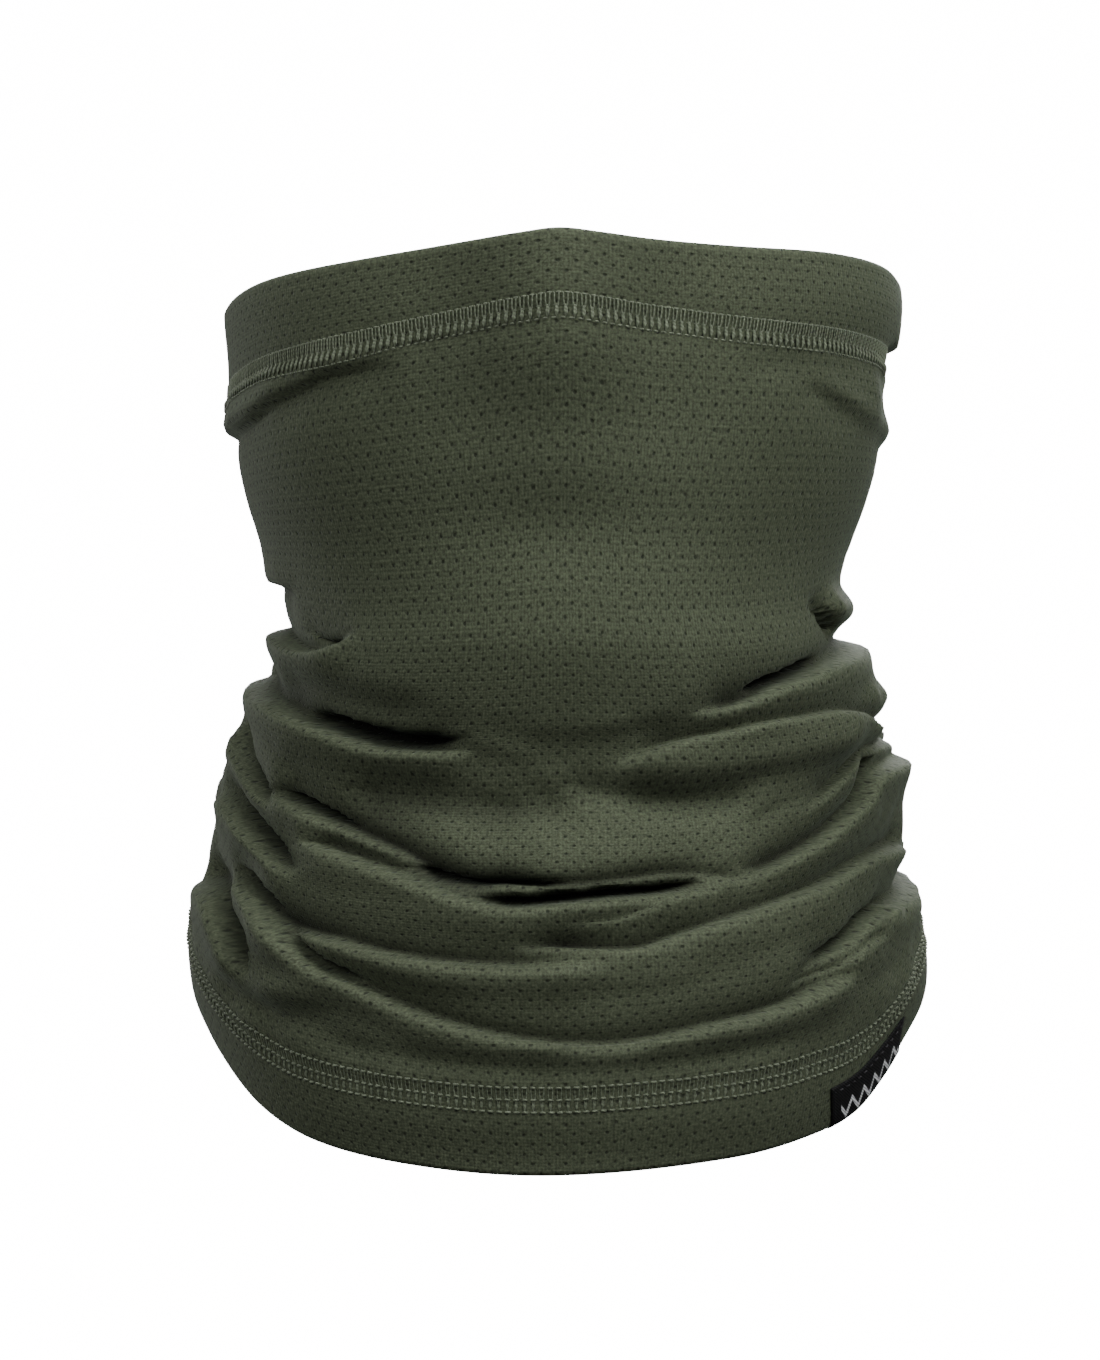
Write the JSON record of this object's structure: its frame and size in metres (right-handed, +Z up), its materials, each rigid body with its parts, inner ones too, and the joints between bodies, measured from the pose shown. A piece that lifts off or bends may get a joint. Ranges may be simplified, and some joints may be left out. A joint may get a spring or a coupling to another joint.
{
  "type": "neck gaiter",
  "caption": "Tube of mesh jersey worn over nose, face and neck, with coverstitched hems, a closing seam and a woven label on the lower edge.",
  "frame": {"origin": "on the axis of the wearer's neck, at the tube's narrowest height", "axes": "+X towards the wearer's left, -Y to the front, +Z up towards the top hem"},
  "size_m": [0.181, 0.1929, 0.2167],
  "materials": {
    "mesh_jersey": "dark olive eyelet mesh jersey, matt with a faint sheen",
    "needle_thread": "twisted polyester thread",
    "cover_thread": "bulked polyester thread",
    "seam_thread": "bulked polyester thread",
    "label_satin": "black woven label with a plain silver zigzag",
    "label_thread": "black polyester thread"
  },
  "bodies": {
    "neck_tube": {"tube_panel": "mesh_jersey", "bottom_hem_lower_needle_thread": "needle_thread", "bottom_hem_middle_needle_thread": "needle_thread", "bottom_hem_upper_needle_thread": "needle_thread", "bottom_hem_cover_thread": "cover_thread", "bottom_hem_looper_thread": "cover_thread", "closing_seam_needle_thread": "seam_thread", "closing_seam_upper_looper_thread": "seam_thread", "closing_seam_lower_looper_thread": "seam_thread", "woven_label": "label_satin", "label_stitches": "label_thread"},
    "top_hem": {"top_hem_lower_needle_thread": "needle_thread", "top_hem_middle_needle_thread": "needle_thread", "top_hem_upper_needle_thread": "needle_thread", "top_hem_cover_thread": "cover_thread", "top_hem_looper_thread": "cover_thread"}
  },
  "joints": [
    {"name": "pull_down", "type": "slide", "parent": "neck_tube", "child": "top_hem", "axis": [0, 0, -1], "range_m": [0, 0.08], "deforming": ["tube_panel", "closing_seam_needle_thread", "closing_seam_upper_looper_thread", "closing_seam_lower_looper_thread"]}
  ]
}
